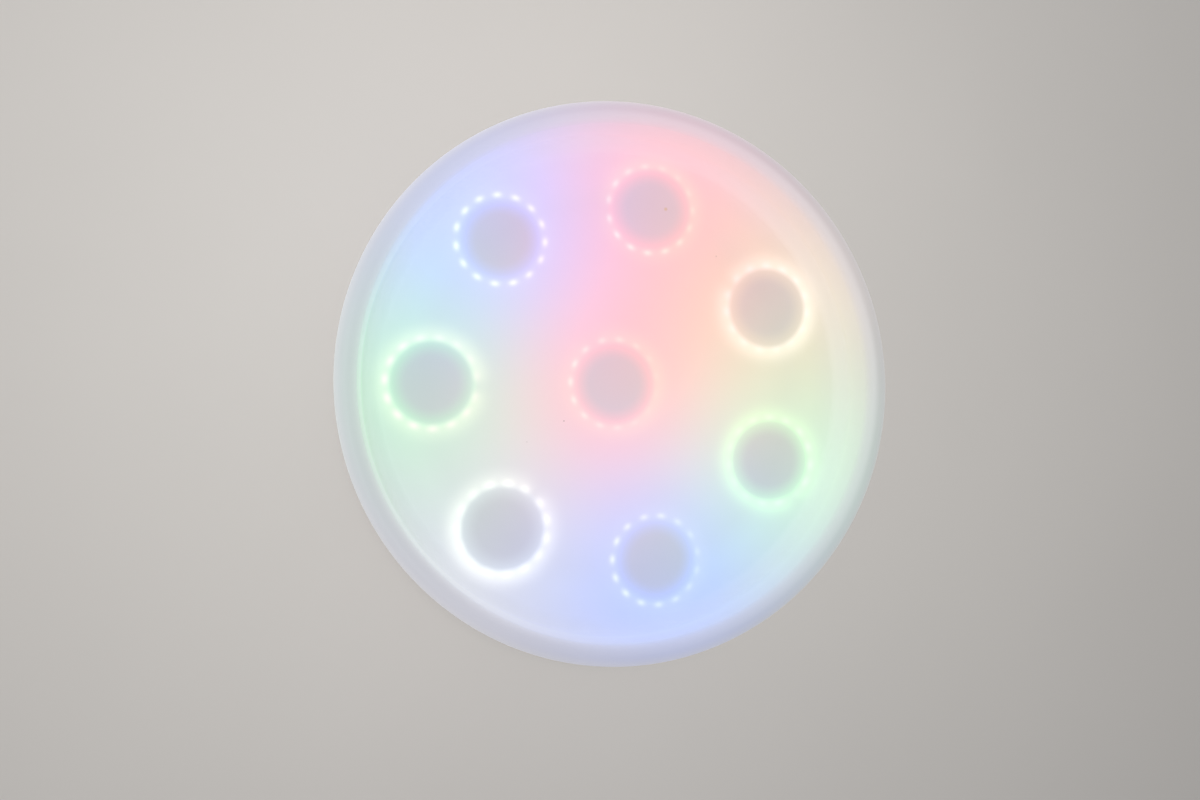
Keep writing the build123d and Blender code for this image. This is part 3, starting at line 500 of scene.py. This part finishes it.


# The glow of the pods in the body's skin, and painted light that evens out the skin's shade
def pod_glow(tree, flat, name):
    """The light that one pod sends through the skin at a place on the plan, and where its plate lies."""
    pod = pods[name]
    offset = tree.vector("SUBTRACT", flat, pod_middle(name))
    reach = tree.vector("LENGTH", offset)
    x, y, _ = tree.split(offset)
    angle = tree.math("ARCTAN2", y, x)
    shade = tree.smooth(reach, *far_edge, disc_glow, 1.0)
    far = tree.times(tree.bell(reach, far_reach), shade, pod.share)
    from_gap = tree.math("COSINE", tree.math("SUBTRACT", angle, radians(pod.gap)))
    narrow = tree.math("EXPONENT", tree.math("MULTIPLY_ADD", from_gap, gap_narrowness, -gap_narrowness))
    lit = tree.math("MULTIPLY_ADD", narrow, -gap_dimming, 1.0)
    # On the side where the single lights show less, more of their light is spread along the ring
    side = tree.math("COSINE", tree.math("SUBTRACT", angle, radians(pod.bright_side)))
    single = tree.math("MULTIPLY_ADD", side, pod.dimming / 2, 1 - pod.dimming / 2)
    past = tree.math("MAXIMUM", tree.math("SUBTRACT", reach, led_radius), 0.0)
    edge = tree.smooth(reach, *near_edge)
    near = tree.times(tree.bell(past, near_reach), edge, lit, tree.math("SUBTRACT", 2.0, single))
    within = tree.smooth(reach, *haze_edge, 1.0, 0.0)
    haze = tree.times(tree.bell(tree.math("SUBTRACT", led_radius, reach), haze_reach), within)
    tint, along, across = dot_glow[pod.colour]
    turns = tree.math("DIVIDE", tree.math("SUBTRACT", angle, radians(pod.light)), 2 * pi / led_count)
    off_light = tree.math("SUBTRACT", turns, tree.math("ROUND", turns))
    dot = tree.times(
        tree.bell(tree.math("MULTIPLY", off_light, led_pitch), along),
        tree.bell(tree.math("SUBTRACT", reach, led_radius), across),
        lit,
        single,
        pod.strength,
    )
    glow = tree.total(
        tree.scaled(far_glow[pod.colour], far),
        tree.scaled(near_glow[pod.colour], near),
        tree.scaled(haze_glow[pod.colour], haze),
        tree.scaled(tint, dot),
    )
    return glow, tree.smooth(reach, *plate_edge, 1.0, 0.0)


def skin_level(tree, z, from_axis):
    """How much of the glow shows: most at the tray's edge, where painted light lifts its shade, less up its
    wall and over the rim.
    """
    # Painted light: the glow is raised at the tray's edge to offset the shade of its wall
    tray = tree.smooth(from_axis, *painted_edge_zone, 1.0, 1 + painted_edge_gain)
    rise = tree.math("DIVIDE", tree.math("SUBTRACT", z, tray_z), table_height - tray_z)
    wall = tree.math("MULTIPLY_ADD", tree.math("MAXIMUM", rise, 0.0), -wall_loss, 1.0)
    over = tree.smooth(z, *rim_zone, 1.0, rim_level)
    below = tree.smooth(z, *below_zone, 1.0, 0.0)
    outside = tree.math("MAXIMUM", tree.smooth(from_axis, rim_middle, rim_outer_radius), below)
    inner = tree.times(tray, wall, over, tree.math("SUBTRACT", 1.0, outside))
    outer = tree.times(outside, side_level, fading_down(tree, z))
    return tree.math("ADD", inner, outer)


def fading_down(tree, z):
    """1 above the strips, and less and less below them."""
    low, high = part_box("led_ring_centre")
    return tree.fade(tree.math("SUBTRACT", (low.z + high.z) / 2, z), side_reach)


def painted_lean_light(tree, place, from_axis):
    """Painted light for the wall's shade: none where it lies flat on the tray, all where it stands up."""
    x, y, z = tree.split(place)
    up = tree.split(tree.node("ShaderNodeTexCoord").outputs["Normal"])[2]
    lean = tree.math("SUBTRACT", 1.0, tree.math("MAXIMUM", up, 0.0))
    rim = tree.smooth(z, table_height - rim_width / 2, table_height, 0.0, painted_rim_share)
    more = tree.smooth(from_axis, rim_middle, rim_outer_radius, 1.0, 1 + painted_outside_share)
    painted_lean_lift = tree.math("ADD", tree.math("POWER", lean, painted_lean_power), rim)
    outer = tree.smooth(from_axis, rim_outer_radius - rim_width, rim_middle)
    inner = tree.math("SUBTRACT", 1.0, outer)
    leftward = tree.times(tree.math("MULTIPLY_ADD", x, painted_leftward_share, 1.0), inner)
    backward = tree.times(tree.math("MULTIPLY_ADD", y, painted_backward_share, 1.0), outer)
    return tree.times(painted_lean_lift, more, tree.math("ADD", leftward, backward), fading_down(tree, z))


def speckled(tree, flat):
    """What the specks leave of the skin's colour at a place on the plan."""
    kept = []
    for spot, radius, colour in specks:
        reach = tree.vector("LENGTH", tree.vector("SUBTRACT", flat, (*spot, 0.0)))
        there = tree.smooth(reach, 0.3 * radius, radius, 1.0, 0.0)
        kept.append(tree.mix(there, (1.0, 1.0, 1.0), colour))
    return reduce(lambda first, second: tree.vector("MULTIPLY", first, second), kept)


def lit_polyethylene():
    """Milky rotomoulded polyethylene with the pods' light in it, and painted light on its walls and the
    tray's edge in place of their shade.
    """
    material, shader, tree = new_material("lit_polyethylene")
    place = tree.place()
    flat = tree.stretched(place, 1.0, 1.0, 0.0)
    z = tree.split(place)[2]
    cloud = tree.noise(place, 60 * MM)
    grain = tree.noise(place, 1.6 * MM, 4.0)
    glows, plates = zip(*(pod_glow(tree, flat, name) for name in pods))
    tone = tree.varied(cloud, 0.985, 1.01)
    # Each disc darkens the skin's colour: partly its grey plate, partly painted shade, most on the left pods
    for pod, plate in zip(pods.values(), plates):
        tone = tree.times(tone, tree.math("MULTIPLY_ADD", plate, -pod.shade, 1.0))
    specked = speckled(tree, flat)
    base = tree.scaled((0.474, 0.469, 0.543), tone)
    tree.put(shader["Base Color"], tree.vector("MULTIPLY", base, specked))
    tree.put(shader["Roughness"], tree.varied(cloud, 0.58, 0.64))
    tree.put(shader["Specular IOR Level"], 0.4)
    tree.put(shader["Normal"], tree.bump(grain, 0.05 * MM))
    from_axis = tree.vector("LENGTH", flat)
    glow = tree.scaled(tree.total(*glows), skin_level(tree, z, from_axis))
    # Painted light on the leaning walls, in place of their shade
    glow = tree.total(glow, tree.scaled(painted_wall_light, painted_lean_light(tree, place, from_axis)))
    tree.put(shader["Emission Color"], tree.vector("MULTIPLY", glow, specked))
    tree.put(shader["Emission Strength"], 1.0)
    return material


# Finishes of the other pieces
def moulded(name, colour, roughness, grain=0.7 * MM, relief=0.03 * MM, uneven=0.05):
    """A moulded plastic or rubber: a cloudy tone, a fine grain and a patchy shine."""
    material, shader, tree = new_material(name)
    place = tree.place()
    cloud = tree.noise(place, 25 * MM)
    speck = tree.noise(place, grain, 2.0)
    tone = tree.varied(cloud, 1 - uneven, 1 + uneven)
    tree.put(shader["Base Color"], tree.scaled(colour, tone))
    tree.put(shader["Roughness"], tree.varied(speck, roughness - 0.06, roughness + 0.06))
    tree.put(shader["Normal"], tree.bump(speck, relief))
    return material


def metal(name, colour, roughness, stretch=(1.0, 1.0, 0.08)):
    """A metal with fine streaks along its length and dull spots."""
    material, shader, tree = new_material(name)
    place = tree.place()
    streaks = tree.noise(tree.stretched(place, *stretch), 0.6 * MM, 4.0)
    spots = tree.noise(place, 5 * MM)
    tone = tree.smooth(spots, 0.35, 0.7, 1.0, 0.86)
    tree.put(shader["Metallic"], 1.0)
    tree.put(shader["Base Color"], tree.scaled(colour, tone))
    tree.put(shader["Roughness"], tree.varied(streaks, roughness - 0.07, roughness + 0.1))
    tree.put(shader["Normal"], tree.bump(streaks, 0.01 * MM))
    return material


def foam(name, colour):
    """Open-cell foam: a pale web, with painted shade that darkens its pores."""
    material, shader, tree = new_material(name)
    pores = tree.cells(tree.place(), 1.1 * MM)
    web = tree.smooth(pores, 0.15, 0.6)
    # Painted shade: the pores are darkened in the colour itself
    tree.put(shader["Base Color"], tree.mix(web, tuple(0.35 * part for part in colour), colour))
    tree.put(shader["Roughness"], tree.smooth(pores, 0.1, 0.6, 1.0, 0.85))
    tree.put(shader["Normal"], tree.bump(web, 0.4 * MM))
    return material


def laminate(name, colour):
    """A touch plate: pale mask over the rings of its electrode, which stand out a little."""
    material, shader, tree = new_material(name)
    span = tree.node("ShaderNodeTexCoord").outputs["Generated"]
    centred = tree.stretched(tree.vector("SUBTRACT", span, (0.5, 0.5, 0.5)), 1.0, 1.0, 0.0)
    rings = tree.math("PINGPONG", tree.vector("LENGTH", centred), 0.05)
    track = tree.smooth(rings, 0.012, 0.02)
    speck = tree.noise(tree.place(), 2 * MM)
    tree.put(shader["Base Color"], tree.mix(track, tuple(0.82 * part for part in colour), colour))
    tree.put(shader["Roughness"], tree.varied(speck, 0.34, 0.44))
    tree.put(shader["Normal"], tree.bump(track, 0.06 * MM))
    return material


def circuit_board(name, colour, covered_copper):
    """A circuit board: tracks under its mask, some along it and some across."""
    material, shader, tree = new_material(name)
    place = tree.place()
    x, y, _ = tree.split(place)
    along = tree.smooth(tree.math("PINGPONG", y, 1.1 * MM), 0.45 * MM, 0.6 * MM)
    across = tree.smooth(tree.math("PINGPONG", x, 1.3 * MM), 0.5 * MM, 0.65 * MM)
    chooser = tree.smooth(tree.noise(place, 16 * MM, 0.0), 0.48, 0.5)
    there = tree.smooth(tree.noise(place, 9 * MM, 1.0), 0.46, 0.48)
    other = tree.math("SUBTRACT", 1.0, chooser)
    ways = tree.math("ADD", tree.times(along, chooser), tree.times(across, other))
    track = tree.times(ways, there)
    tree.put(shader["Base Color"], tree.mix(track, colour, covered_copper))
    tree.put(shader["Roughness"], tree.smooth(track, 0.0, 1.0, 0.42, 0.3))
    tree.put(shader["Normal"], tree.bump(track, 0.05 * MM))
    return material


def shrunk_film(name, colour):
    """The battery's shrunk film: glossy, drawn into fine wrinkles, with painted shade in their hollows and
    painted light on their ridges.
    """
    material, shader, tree = new_material(name)
    place = tree.place()
    folds = tree.noise(tree.stretched(place, 0.15, 1.0, 1.0), 3 * MM, 2.0)
    # Painted shade and light: darker in the wrinkles' hollows, paler on their ridges
    tree.put(shader["Base Color"], tree.scaled(colour, tree.varied(folds, 0.85, 1.1)))
    tree.put(shader["Roughness"], tree.varied(folds, 0.22, 0.34))
    tree.put(shader["Normal"], tree.bump(folds, 0.15 * MM))
    tree.put(shader["Coat Weight"], 0.5)
    return material


def button_plastic(name, colour, mark):
    """A button's plastic, with the raised mark on its face in a paler tone."""
    material, shader, tree = new_material(name)
    place = tree.place()
    z = tree.split(place)[2]
    face_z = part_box("power_button")[0].z
    speck = tree.noise(place, 0.6 * MM, 2.0)
    raised = tree.smooth(z, face_z + 0.2 * MM, face_z + 0.35 * MM, 1.0, 0.0)
    tree.put(shader["Base Color"], tree.mix(raised, colour, mark))
    tree.put(shader["Roughness"], tree.varied(speck, 0.38, 0.5))
    tree.put(shader["Normal"], tree.bump(speck, 0.02 * MM))
    return material


def status_lens(name, colour):
    """The status light's dome, brightest in its middle."""
    material, shader, tree = new_material(name)
    place = tree.place()
    low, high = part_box("status_light")
    middle = ((low.x + high.x) / 2, (low.y + high.y) / 2, low.z)
    spread = tree.vector("LENGTH", tree.vector("SUBTRACT", place, middle))
    core = tree.bell(spread, 2.5 * MM)
    tree.put(shader["Base Color"], tree.mix(core, colour, (0.75, 0.95, 0.8)))
    tree.put(shader["Roughness"], tree.varied(tree.noise(place, 1 * MM), 0.12, 0.2))
    tree.put(shader["Emission Color"], tree.scaled((0.25, 0.9, 0.35), core))
    tree.put(shader["Emission Strength"], 0.8)
    return material


def led_strip(name):
    """A pod's strip: a white face, copper pads between the lights, and a lit die in each light."""
    colour, joint = pods[name].colour, pods[name].joint
    material, shader, tree = new_material(f"led_strip_{name}")
    place = tree.place()
    low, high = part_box(f"led_ring_{name}")
    offset = tree.vector("SUBTRACT", place, pod_middle(name))
    x, y, z = tree.split(offset)
    reach = tree.vector("LENGTH", tree.stretched(offset, 1.0, 1.0, 0.0))
    angle = tree.math("SUBTRACT", tree.math("ARCTAN2", y, x), radians(joint))
    share = tree.math("FRACT", tree.math("DIVIDE", angle, 2 * pi / led_count))
    along = tree.times(tree.math("ABSOLUTE", tree.math("SUBTRACT", share, 0.5)), led_pitch)
    rise = tree.math("ABSOLUTE", tree.math("SUBTRACT", z, (low.z + high.z) / 2))
    widest = tree.math("MAXIMUM", along, rise)
    blur = 0.1 * MM
    led_face = led_radius - 1.1 * MM
    die_reach = 1.7 * MM
    pad_start = led_pitch / 2 - 1.5 * MM
    pad_spacing = 1.5 * MM
    proud = tree.smooth(reach, led_face - blur, led_face + blur)
    die = tree.times(proud, tree.smooth(widest, die_reach - 2 * blur, die_reach + 2 * blur, 1.0, 0.0))
    between = tree.smooth(along, pad_start - blur, pad_start + blur)
    row = tree.math("PINGPONG", rise, pad_spacing)
    pad = tree.times(between, tree.smooth(row, 0.7 * MM - blur, 0.7 * MM + blur))
    body = tree.mix(pad, (0.82, 0.82, 0.80), (0.75, 0.45, 0.2))
    tree.put(shader["Base Color"], tree.mix(die, body, (0.9, 0.85, 0.6)))
    tree.put(shader["Metallic"], pad)
    tree.put(shader["Roughness"], tree.varied(tree.noise(place, 1 * MM), 0.3, 0.4))
    tree.put(shader["Emission Color"], tree.mix(die, (0.0, 0.0, 0.0), led_colours[colour]))
    tree.put(shader["Emission Strength"], 1.0)
    return material


def dress():
    """Gives every node of the frame the finish of its slot, and each light strip its own."""
    apart = {"body_shell", *(f"led_ring_{name}" for name in pods)}
    finishes = {
        "white_abs": moulded("white_abs", (0.66, 0.66, 0.65), 0.5, relief=0.06 * MM),
        "white_deck_plastic": moulded("white_deck_plastic", (0.72, 0.72, 0.71), 0.42),
        "pod_plastic": moulded("pod_plastic", (0.62, 0.62, 0.61), 0.46, grain=0.5 * MM),
        "black_moulding": moulded("black_moulding", (0.03, 0.03, 0.033), 0.45, uneven=0.12),
        "cream_nylon": moulded("cream_nylon", (0.64, 0.59, 0.46), 0.38, relief=0.015 * MM),
        "black_rubber": moulded("black_rubber", (0.025, 0.025, 0.027), 0.78, grain=1.2 * MM, uneven=0.2),
        "black_cable": moulded("black_cable", (0.03, 0.03, 0.033), 0.5, grain=0.4 * MM, uneven=0.1),
        "grey_foam": foam("grey_foam", (0.10, 0.10, 0.105)),
        "touch_plate_laminate": laminate("touch_plate_laminate", (0.38, 0.39, 0.39)),
        "brass": metal("brass", (0.72, 0.50, 0.20), 0.3),
        "zinc_steel": metal("zinc_steel", (0.62, 0.63, 0.66), 0.36),
        "spring_steel": metal("spring_steel", (0.42, 0.43, 0.45), 0.3, stretch=(1.0, 1.0, 0.3)),
        "nickel_nut": metal("nickel_nut", (0.66, 0.65, 0.62), 0.2),
        "green_board": circuit_board("green_board", (0.02, 0.16, 0.07), (0.10, 0.42, 0.20)),
        "blue_wrap": shrunk_film("blue_wrap", (0.03, 0.09, 0.32)),
        "grey_button": button_plastic("grey_button", (0.27, 0.28, 0.30), (0.75, 0.76, 0.77)),
        "status_lens": status_lens("status_lens", (0.12, 0.5, 0.2)),
    }
    for subpart in frame["record"]["subparts"]:
        piece = subpart["node"]
        if piece in apart:
            continue
        for slot in nodes[piece].material_slots:
            slot.material = finishes[subpart["material_slot"]]
    for name in pods:
        for slot in nodes[f"led_ring_{name}"].material_slots:
            slot.material = led_strip(name)


dress()
shell = body_moulding()
shell.data.materials.clear()
shell.data.materials.append(lit_polyethylene())
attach(shell, "table")
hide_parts("body_shell")


# Camera, where the photograph was taken from
camera_place = Vector((-0.2420, -0.0675, 1.2264))
camera_ahead = Vector((0.21911, 0.05013, -0.97441)).normalized()
camera_up = Vector((0, 0.99868, 0.05138))
camera_lens = 34.32
camera_data = bpy.data.cameras.new("camera")
camera_data.lens = camera_lens
camera_data.sensor_width = 36.0
camera = bpy.data.objects.new("camera", camera_data)
camera_right = camera_ahead.cross(camera_up).normalized()
camera_axes = Matrix((camera_right, camera_right.cross(camera_ahead), -camera_ahead)).transposed()
camera.matrix_world = Matrix.Translation(camera_place) @ camera_axes.to_4x4()
bpy.context.scene.collection.objects.link(camera)
bpy.context.scene.camera = camera

# Floor, seen through from below
floor_reach = 6.0
floor_drop = 0.2 * MM
floor_mesh = bpy.data.meshes.new("floor")
floor_sides = ((-1, -1), (1, -1), (1, 1), (-1, 1))
floor_corners = [(x * floor_reach, y * floor_reach, -floor_drop) for x, y in floor_sides]
floor_mesh.from_pydata(floor_corners, [], [(0, 1, 2, 3)])
floor = bpy.data.objects.new("floor", floor_mesh)
bpy.context.scene.collection.objects.link(floor)


def floor_material():
    """Plain pale paint that the camera sees through from below, and that lets light up to the base."""
    material, shader, tree = new_material("floor_paint")
    place = tree.place()
    tone = tree.varied(tree.noise(place, 0.4), 0.99, 1.01)
    tree.put(shader["Base Color"], tree.scaled((0.628, 0.607, 0.585), tone))
    tree.put(shader["Roughness"], 0.7)
    path = tree.node("ShaderNodeLightPath").outputs
    behind = tree.node("ShaderNodeNewGeometry").outputs["Backfacing"]
    from_axis = tree.vector("LENGTH", place)
    under = tree.smooth(from_axis, rebate_radius - 2 * flange_width, rebate_radius - flange_width, 1.0, 0.0)
    light = tree.math("MAXIMUM", path["Is Diffuse Ray"], path["Is Shadow Ray"])
    clear = tree.math("MAXIMUM", behind, tree.times(under, light))
    opaque = material.node_tree.nodes["Principled BSDF"].outputs[0]
    glass = tree.node("ShaderNodeBsdfTransparent").outputs[0]
    both = tree.node("ShaderNodeMixShader", clear, opaque, glass).outputs[0]
    tree.put(material.node_tree.nodes["Material Output"].inputs["Surface"], both)
    return material


floor_mesh.materials.append(floor_material())

# Soft light: a pale sky all round, and a broad lamp high on the left
world = bpy.data.worlds.new("daylight")
bpy.context.scene.world = world
world.use_nodes = True
world_tree = Tree(world.node_tree)
sky = world.node_tree.nodes["Background"]
world_tree.put(sky.inputs["Color"], (0.97, 0.98, 1.0, 1.0))
world_tree.put(sky.inputs["Strength"], 0.30)
backdrop = world_tree.node("ShaderNodeBackground", (0.86, 0.86, 0.85, 1.0), 1.0)
world_path = world_tree.node("ShaderNodeLightPath").outputs
seen = world_tree.math("MAXIMUM", world_path["Is Camera Ray"], world_path["Is Glossy Ray"])
seen = world_tree.math("MAXIMUM", seen, world_path["Is Transmission Ray"])
both_skies = world_tree.node("ShaderNodeMixShader", seen, sky.outputs[0], backdrop.outputs[0])
world_tree.put(world.node_tree.nodes["World Output"].inputs["Surface"], both_skies.outputs[0])

lamp_place = Vector((-0.48, -0.03, 2.5))
lamp_target = Vector((-0.05, 0.5, 0.0))
lamp_data = bpy.data.lights.new("window", "AREA")
lamp_data.shape = "DISK"
lamp_data.size = 0.6
lamp_data.spread = radians(96)
lamp_data.energy = 12.0
lamp_data.color = (1.0, 0.98, 0.95)
lamp = bpy.data.objects.new("window", lamp_data)
lamp_turn = (lamp_place - lamp_target).to_track_quat("Z", "Y")
lamp.matrix_world = Matrix.Translation(lamp_place) @ lamp_turn.to_matrix().to_4x4()
bpy.context.scene.collection.objects.link(lamp)

bpy.context.scene.view_settings.view_transform = "Standard"
